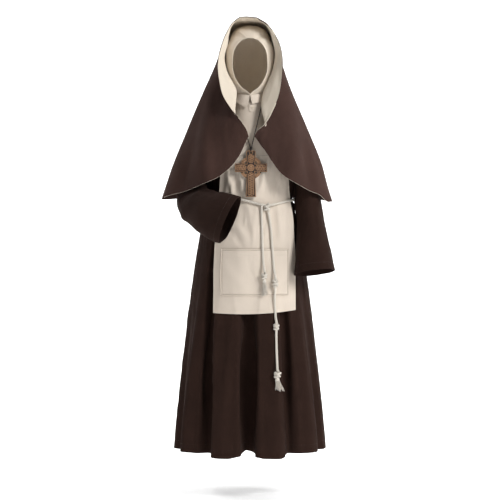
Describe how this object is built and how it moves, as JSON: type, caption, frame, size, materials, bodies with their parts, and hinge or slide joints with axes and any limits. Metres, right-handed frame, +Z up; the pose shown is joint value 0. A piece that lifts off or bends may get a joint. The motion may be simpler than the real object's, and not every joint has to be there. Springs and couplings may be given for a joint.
{
  "type": "nun habit",
  "caption": "Hollow worn nun habit: flared brown tunic with wide sleeves, cream apron and yoke, coif and lined veil, white rope belt with knotted tails and tassels, ring cross on a cord.",
  "frame": {"origin": "base of the neck, on the line of the shoulders, 1.40 m above the floor the wearer stands on: where the wearer's shoulders carry the habit", "axes": "+Z up, the garment faces -Y, +X is the wearer's left"},
  "size_m": [0.6385, 0.5103, 1.5919],
  "materials": {
    "brown_wool": "matt woven wool, dark brown",
    "veil_crepe": "matt woven crepe, dark brown",
    "veil_lining": "smooth cream lining",
    "cream_cotton": "plain cream cotton",
    "coif_jersey": "fine cream knit",
    "button": "matt cream button",
    "white_rope": "twisted white cotton rope",
    "neck_cord": "dark round cord",
    "carved_cross": "carved brown, low sheen"
  },
  "bodies": {
    "root": {"tunic_front": "brown_wool", "tunic_back": "brown_wool", "sleeve_left": "brown_wool", "sleeve_right": "brown_wool", "yoke": "cream_cotton", "placket": "cream_cotton", "button": "button", "apron": "cream_cotton", "apron_pocket": "cream_cotton", "collar": "cream_cotton", "coif": "coif_jersey", "veil": "veil_crepe", "veil_lining": "veil_lining", "belt": "white_rope", "belt_knot": "white_rope", "tail_short": "white_rope", "knot_short": "white_rope", "tassel_short": "white_rope", "tail_long_top": "white_rope", "knot_long_upper": "white_rope", "tail_long_middle": "white_rope", "knot_long_middle": "white_rope", "tail_long_end": "white_rope", "knot_long_lower": "white_rope", "tassel_long": "white_rope", "neck_cord": "neck_cord", "cross": "carved_cross"}
  },
  "joints": []
}
